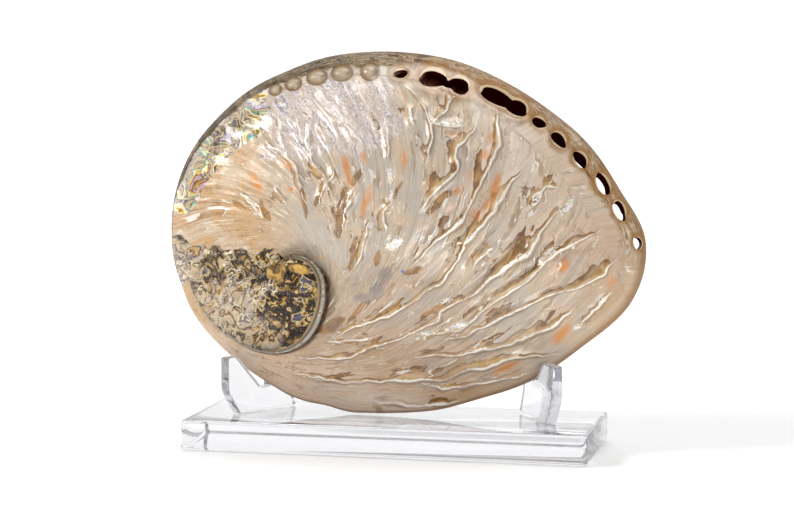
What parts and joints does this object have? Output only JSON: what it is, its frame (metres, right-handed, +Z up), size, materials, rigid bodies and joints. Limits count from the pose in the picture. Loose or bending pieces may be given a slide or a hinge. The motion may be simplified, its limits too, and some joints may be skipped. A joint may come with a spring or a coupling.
{
  "type": "abalone shell on stand",
  "caption": "Polished abalone shell standing on its edge in a clear stand: a slab with a hooked bracket near each end.",
  "frame": {"origin": "middle of the slab's underside", "axes": "+X along the slab, towards the shell's pointed end; -Y to the front, where the shell's outer face looks; +Z up"},
  "size_m": [0.1952, 0.0734, 0.1559],
  "materials": {
    "shell": "polished",
    "clear_acrylic": "clear polished"
  },
  "bodies": {
    "root": {"shell": "shell", "base": "clear_acrylic", "left_bracket": "clear_acrylic", "right_bracket": "clear_acrylic"}
  },
  "joints": []
}
